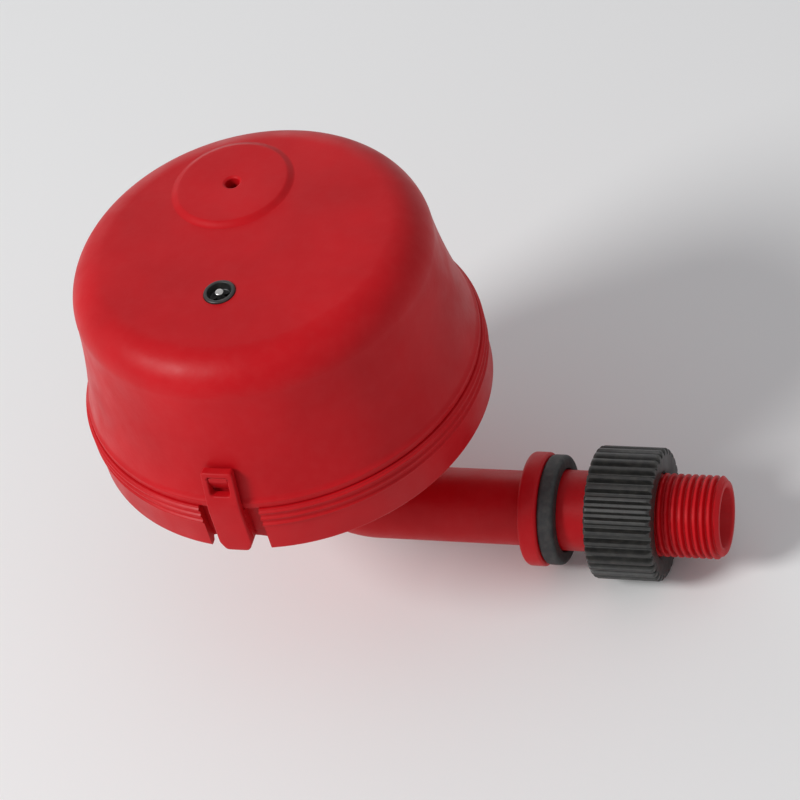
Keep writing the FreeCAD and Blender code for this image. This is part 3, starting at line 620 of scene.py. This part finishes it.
def ear(name, side):
    """Latch ear as loops that run from its border to its window and back behind, on the lean.

    Each point comes with its depth behind the outer face, or with None on the inner face.
    """
    count = 240
    foot = EAR_HALF - EAR_CORNER * 0.5
    root_round, side_round, top_round = 1.2 * MM, 1.5 * MM, 0.8 * MM
    sill_round = 0.9 * MM
    border = spread(rounded([
        (0, EAR_ROOT), (foot, EAR_ROOT, root_round),
        (EAR_HALF, EAR_ROOT + EAR_CORNER, side_round), (EAR_HALF, EAR_TOP, top_round),
        (-EAR_HALF, EAR_TOP, top_round), (-EAR_HALF, EAR_ROOT + EAR_CORNER, side_round),
        (-foot, EAR_ROOT, root_round)]), count)
    window = spread(rounded([
        (0, WINDOW_LOW), (WINDOW_HALF, WINDOW_LOW, sill_round),
        (WINDOW_HALF, WINDOW_HIGH, SOFT_EDGE), (-WINDOW_HALF, WINDOW_HIGH, SOFT_EDGE),
        (-WINDOW_HALF, WINDOW_LOW, sill_round)]), count)

    edge = ROUND_EDGE
    face_steps = 14
    loops = []
    for step in range(face_steps + 1):
        share = step / face_steps
        loops.append([(one.lerp(two, share), 0.0)
                      for one, two in zip(inset(border, edge), inset(window, -edge))])
    for turn in (30, 60, 90):
        angle = math.radians(turn)
        bevel = inset(window, -edge * (1 - math.sin(angle)))
        loops.append([(point, edge * (1 - math.cos(angle))) for point in bevel])
    loops.append([(point, None) for point in window])
    for step in range(face_steps + 1):
        share = 1 - step / face_steps
        loops.append([(one.lerp(two, share), None) for one, two in zip(border, window)])
    for turn in (90, 60, 30):
        angle = math.radians(turn)
        bevel = inset(border, edge * (1 - math.sin(angle)))
        loops.append([(point, edge * (1 - math.cos(angle))) for point in bevel])

    verts = []
    for loop in loops:
        for point, depth in loop:
            radius = EAR_REACH - ear_lean(point.y)
            radius -= ear_depth(point.y) if depth is None else depth
            turn = point.x / EAR_REACH
            verts.append((BELL_X + radius * math.sin(turn),
                          side * radius * math.cos(turn), RIM + point.y))
    made = new_object(name, verts, grid_faces(len(loops), count), crease=50)
    dress(made, "red_shell", "housing")


# ---- arm -----------------------------------------------------------------------------------

def arm_line(distance):
    """Point and heading on the arm's centre line; distance 0 is the riser's top."""
    if distance < RISER_RUN:
        return Vector((BELL_X, 0, BEND + RISER_RUN - distance)), Vector((0, 0, -1))
    if distance < RISER_RUN + ELBOW_RUN:
        turn = (distance - RISER_RUN) / BEND
        centre = Vector((BELL_X + BEND, 0, BEND))
        return (centre + Vector((-math.cos(turn), 0, -math.sin(turn))) * BEND,
                Vector((math.sin(turn), 0, -math.cos(turn))))
    return Vector((BELL_X + BEND + distance - RISER_RUN - ELBOW_RUN, 0, 0)), Vector((1, 0, 0))


def at_height(height):
    """Distance along the arm's line of a height on the riser."""
    return RISER_TOP - height


def at_x(x):
    """Distance along the arm's line of a place on the arm."""
    return RISER_RUN + ELBOW_RUN + (x - BELL_X - BEND)


def arm_section():
    """Closed section of riser, elbow and arm as (distance, radius), split round the elbow."""
    collar_top = at_height(RIM + FLOOR_LOW - GASKET_ROOM)
    collar_low = at_height(RIM + FLOOR_LOW - GASKET_ROOM - RISER_COLLAR_WALL)
    bore_low = at_height(RISER_TOP - NOZZLE_BORE_DEPTH)
    flange_back = at_x(FLANGE_FACE - FLANGE_WALL)
    flange_front = at_x(FLANGE_FACE)
    neck = THREAD - NECK_DROP
    elbow_end = RISER_RUN + ELBOW_RUN
    collar_root, flange_root = 0.8 * MM, 1.2 * MM
    back_round, front_round = 1.1 * MM, 0.9 * MM
    profile = rounded([
        (at_height(RISER_TOP), NOZZLE_BORE), (at_height(RISER_TOP), RISER_RADIUS, ROUND_EDGE),
        (collar_top, RISER_RADIUS), (collar_top, RISER_COLLAR, ROUND_EDGE),
        (collar_low, RISER_COLLAR, SOFT_EDGE), (collar_low, TUBE_RADIUS, collar_root),
        (RISER_RUN, TUBE_RADIUS), (elbow_end, TUBE_RADIUS),
        (flange_back, TUBE_RADIUS, flange_root), (flange_back, FLANGE_RADIUS, back_round),
        (flange_front, FLANGE_RADIUS, front_round), (flange_front, neck),
        (at_x(NECK_END), neck), (at_x(NECK_END), ARM_BORE),
        (elbow_end, ARM_BORE), (RISER_RUN, ARM_BORE), (bore_low, ARM_BORE),
        (bore_low, NOZZLE_BORE),
    ])
    elbow_steps = 24
    section = []
    for one, two in zip(profile, profile[1:] + profile[:1]):
        section.append(one)
        middle = (one.x + two.x) / 2
        if RISER_RUN < middle < elbow_end and abs(two.x - one.x) > ELBOW_RUN / 2:
            section += [one.lerp(two, step / elbow_steps) for step in range(1, elbow_steps)]
    return section


def arm():
    around = 96
    aside = Vector((0, 1, 0))
    verts = []
    section = arm_section()
    for distance, radius in section:
        point, heading = arm_line(distance)
        other = heading.cross(aside)
        for step in range(around):
            turn = 2 * math.pi * step / around
            verts.append(point + (aside * math.cos(turn) + other * math.sin(turn)) * radius)
    made = new_object("arm_tube", verts, grid_faces(len(section), around))
    dress(made, "red_shell", "housing", "inlet_arm")
    threaded_end()


def threaded_end():
    """Helical thread as a grid of points, from its run-in behind the nut to the mouth."""
    around, rows_per_pitch = 120, 16
    rows = int((MOUTH - NECK_END) / PITCH * rows_per_pitch)
    run_in = 1.6 * PITCH
    root, flank = 0.12, 0.70
    chamfer, chamfer_drop, chamfer_slope = 1.3 * MM, 1.25 * MM, 0.95
    lip = 0.5 * MM
    verts = []
    for row in range(rows + 1):
        x = NECK_END + (MOUTH - NECK_END) * row / rows
        fade = smooth_step((x - NECK_END) / run_in)
        to_mouth = MOUTH - x
        for step in range(around):
            phase = (x / PITCH - step / around) % 1
            wave = 0.5 + 0.5 * math.cos(2 * math.pi * phase)
            crest = smooth_step((wave - root) / flank)
            radius = THREAD - NECK_DROP * (1 - fade) - THREAD_DEPTH * fade * (1 - crest)
            if to_mouth < chamfer:
                radius = min(radius, THREAD - chamfer_drop + to_mouth * chamfer_slope)
            verts.append(about_arm(x, radius, 2 * math.pi * step / around))
    inside = ((MOUTH, ARM_BORE + lip), (MOUTH - lip, ARM_BORE), (NECK_END, ARM_BORE))
    for x, radius in inside:
        verts += hoop(x, radius, around)
    made = new_object("inlet_thread", verts, grid_faces(rows + 1 + len(inside), around), crease=55)
    dress(made, "red_shell", "housing")


def washer():
    low, high = WASHER[0][0], WASHER[1][0]
    bore = THREAD + PLAY
    corner = 1.1 * MM
    profile = rounded([(bore, low, EDGE), (WASHER_RADIUS, low, corner),
                       (WASHER_RADIUS, high, corner), (bore, high, EDGE)], 8)
    dress(lathe("seal_washer", profile, AT_ARM, steps=160), "black_rubber", "housing",
          "wall_washer")


def nut():
    """Ribbed nut: rings of points whose radius waves from rib to rib and falls at the ends."""
    low, high = NUT[0][0], NUT[1][0]
    per_rib = 22
    around = NUT_RIBS * per_rib
    valley, flank = 0.30, 0.46
    lip = 0.3 * MM
    lip_drop = 0.25 * MM
    offsets = [0, 0.12 * MM, lip, 0.55 * MM, NUT_BEVEL, 1.1 * MM]
    stations = [low + offset for offset in offsets]
    stations.append((low + high) / 2)
    stations += [high - offset for offset in reversed(offsets)]
    verts = []
    for x in stations:
        end = min(x - low, high - x)
        bevel_turn = min(end / NUT_BEVEL, 1) * math.pi / 2
        limit = NUT_RADIUS - NUT_BEVEL + NUT_BEVEL * math.sin(bevel_turn)
        limit -= lip_drop * (1 - min(end / lip, 1)) ** 2
        for step in range(around):
            phase = abs(step / per_rib % 1 - 0.5) * 2
            crest = smooth_step((phase - valley) / flank)
            radius = min(NUT_RADIUS - RIB_DEPTH * (1 - crest), limit)
            verts.append(about_arm(x, radius, 2 * math.pi * step / around))
    bore = THREAD + 0.05 * MM
    mouth = THREAD + 1.3 * MM
    mouth_depth = 0.9 * MM
    inside = ((high, mouth), (high - mouth_depth, bore), (low + mouth_depth, bore), (low, mouth))
    for x, radius in inside:
        verts += hoop(x, radius, around)
    faces = grid_faces(len(stations) + len(inside), around)
    dress(new_object("grip_nut", verts, faces, crease=45), "black_nylon", "nut", "lock_nut")


# ---- adjusting screw -----------------------------------------------------------------------

def screw():
    """Screw with its seal groove, dished head and driver slot, and the stop pin through it."""
    bottom, top = SCREW[0][2], SCREW[1][2]
    groove = (top + bottom) / 2
    groove_half = 0.8 * MM
    groove_radius = SCREW_RADIUS - 1.4 * MM
    dish = top - 2.2 * MM
    dish_edge = SCREW_RADIUS - 0.9 * MM
    dish_foot = SCREW_RADIUS - 1.15 * MM
    profile = rounded([
        (PIN_HOLE, bottom), (SCREW_RADIUS, bottom, EDGE), (SCREW_RADIUS, groove - groove_half),
        (groove_radius, groove - groove_half), (groove_radius, groove + groove_half),
        (SCREW_RADIUS, groove + groove_half), (SCREW_RADIUS, top, ROUND_EDGE),
        (dish_edge, top, 0.25 * MM), (dish_foot, dish, ROUND_EDGE), (PIN_HOLE, dish)], 5)
    made = lathe("adjuster_screw", profile, AT_SCREW, steps=96)
    slot_reach = 2.7 * MM
    slot = prism("slot_cut", block(-slot_reach, -SLOT_HALF, slot_reach, SLOT_HALF),
                 dish - 2 * SLOT_HALF, top + 1 * MM, AT_SCREW @ Matrix.Rotation(SLOT_TURN, 4, "Z"))
    carve(made, [slot])
    dress(made, "black_nylon", "adjuster", "rate_screw")

    low, high = PIN[0][2], PIN[1][2]
    tip = 1.1 * MM
    step_low, step_high = dish - 1.2 * MM, dish - 1.0 * MM
    nose = 1.2 * MM
    profile = rounded([(0, low), (PIN_RADIUS, low, nose), (PIN_RADIUS, step_low, FINE_EDGE),
                       (tip, step_high, FINE_EDGE), (tip, high, ROUND_EDGE), (0, high)], 8)
    dress(lathe("stop_pin", profile, AT_SCREW, steps=48), "steel", "adjuster", "rate_pin")


# ---- strainer ------------------------------------------------------------------------------

def strainer():
    low, high = COLLAR[0][0], COLLAR[1][0]
    outer = (COLLAR[1][2] - COLLAR[0][2]) / 2
    cone_low, cone_high = low + 2.5 * MM, low + 3.5 * MM
    profile = rounded([(STRAINER_BORE, low), (STRAINER_RADIUS, low, FINE_EDGE),
                       (STRAINER_RADIUS, cone_low), (outer, cone_high),
                       (outer, high, EDGE), (STRAINER_BORE, high, EDGE)], 5)
    dress(lathe("strainer_ring", profile, AT_ARM, steps=128), "pale_mesh", "strainer",
          "strainer_collar")

    low, high = CAP[0][0], CAP[1][0]
    nose = 0.6 * MM
    profile = rounded([(0, low), (STRAINER_RADIUS, low, nose), (STRAINER_RADIUS, high, EDGE),
                       (0, high)], 5)
    cap = lathe("strainer_end", profile, AT_ARM, steps=128)
    reach = 3.6 * MM
    slot = prism("cap_cut", block(-reach, -CAP_SLOT, reach, CAP_SLOT),
                 low - 1 * MM, low + 2 * MM, AT_ARM)
    carve(cap, [slot])
    dress(cap, "pale_mesh", "strainer", "strainer_cap")
    weave()


def weave():
    """Plain weave: wires along the strainer and hoops round it, over and under by turns."""
    low, high = MESH[0][0], MESH[1][0]
    half = WIRE * 0.5
    verts, faces = [], []

    def crossing(warp, weft, way):
        """Point where two wires cross, pushed out or in by half a wire."""
        turn = 2 * math.pi * warp / WARPS
        radius = WEAVE_RADIUS + half * (way if (warp + weft) % 2 else -way)
        return Vector(about_arm(low + (high - low) * weft / WEFTS, radius, turn))

    def add(points, closed):
        base = len(verts)
        wire_verts, wire_faces = wire_along(points, half, closed)
        verts.extend(wire_verts)
        faces.extend([[base + corner for corner in face] for face in wire_faces])

    for warp in range(WARPS):
        add([crossing(warp, weft, 1) for weft in range(WEFTS + 1)], False)
    for weft in range(1, WEFTS):
        add([crossing(warp, weft, -1) for warp in range(WARPS)], True)
    made = new_object("strainer_weave", verts, faces, crease=80)
    dress(made, "pale_mesh", "strainer", "strainer_mesh")


dome()
tray()
arm()
washer()
nut()
screw()
strainer()

# ---- carried-over CAD nodes ----------------------------------------------------------------

for part in frame["record"]["subparts"]:
    kept = frame["nodes"][part["node"]]
    kept.data.materials.clear()
    kept.data.materials.append(FINISH[part["material_slot"]])

# ---- floor, light and camera ---------------------------------------------------------------

FLOOR = NUT[0][2] - PLAY
CENTRE = Vector(((ARM[1][0] + DOME[0][0]) / 2, 0, (DOME[1][2] + NUT[0][2]) / 2))

# Name, offset from the part's centre, disk's diameter and power.
LAMPS = (
    ("key", (-0.78, -0.72, 0.9), 0.45, 12.5),
    ("fill", (1.0, -0.5, 0.8), 0.9, 0.5),
    ("back", (-0.6, 1.0, 0.3), 0.7, 1.2),
)

# The camera stands where the photo's did, fitted to the outlines of rim, top and arm.
EYE = Vector((0.2256, -0.533, 0.6149))
EYE_UP = Vector((0.002, 0.643, 0.766))
LENS = 150
SENSOR = 36


def floor():
    half = 0.9
    made = new_object("floor", [(-half, -half, FLOOR), (half, -half, FLOOR),
                                (half, half, FLOOR), (-half, half, FLOOR)], [[0, 1, 2, 3]])
    paint = bpy.data.materials.new("floor")
    paint.use_nodes = True
    shader = paint.node_tree.nodes["Principled BSDF"]
    shader.inputs["Base Color"].default_value = (0.88, 0.88, 0.87, 1)
    shader.inputs["Roughness"].default_value = 0.9
    shader.inputs["Specular IOR Level"].default_value = 0.1
    made.data.materials.append(paint)


def lamp(name, offset, size, power):
    """Round area lamp at that offset from the part's centre, aimed at it."""
    data = bpy.data.lights.new(name, "AREA")
    data.shape = "DISK"
    data.size = size
    data.energy = power
    made = bpy.data.objects.new(name, data)
    made.location = CENTRE + Vector(offset)
    made.rotation_euler = (CENTRE - made.location).to_track_quat("-Z", "Y").to_euler()
    bpy.context.scene.collection.objects.link(made)


def surroundings():
    """Soft light from all round, and a pale backdrop where a view looks past the floor."""
    world = bpy.data.worlds.new("studio")
    bpy.context.scene.world = world
    world.use_nodes = True
    tree = world.node_tree
    soft = tree.nodes["Background"]
    soft.inputs["Color"].default_value = (0.95, 0.96, 1.0, 1)
    soft.inputs["Strength"].default_value = 0.42
    pale = tree.nodes.new("ShaderNodeBackground")
    pale.inputs["Color"].default_value = (0.99, 0.99, 1.0, 1)
    pale.inputs["Strength"].default_value = 0.72
    path = tree.nodes.new("ShaderNodeLightPath")
    seen = path.outputs["Is Camera Ray"]
    for ray in ("Is Glossy Ray", "Is Transmission Ray"):
        either = tree.nodes.new("ShaderNodeMath")
        either.operation = "MAXIMUM"
        tree.links.new(seen, either.inputs[0])
        tree.links.new(path.outputs[ray], either.inputs[1])
        seen = either.outputs["Value"]
    mixed = tree.nodes.new("ShaderNodeMixShader")
    tree.links.new(seen, mixed.inputs["Fac"])
    tree.links.new(soft.outputs["Background"], mixed.inputs[1])
    tree.links.new(pale.outputs["Background"], mixed.inputs[2])
    tree.links.new(mixed.outputs["Shader"], tree.nodes["World Output"].inputs["Surface"])


def camera():
    ahead = (CENTRE - EYE).normalized()
    right = ahead.cross(EYE_UP).normalized()
    up = right.cross(ahead)
    data = bpy.data.cameras.new("camera")
    data.sensor_width = SENSOR
    data.lens = LENS
    data.clip_start = 0.01
    made = bpy.data.objects.new("camera", data)
    made.matrix_world = Matrix((
        (right.x, up.x, -ahead.x, EYE.x), (right.y, up.y, -ahead.y, EYE.y),
        (right.z, up.z, -ahead.z, EYE.z), (0, 0, 0, 1)))
    bpy.context.scene.collection.objects.link(made)
    bpy.context.scene.camera = made


floor()
for name, offset, size, power in LAMPS:
    lamp(name, offset, size, power)
surroundings()
camera()
bpy.context.scene.view_settings.view_transform = "Standard"
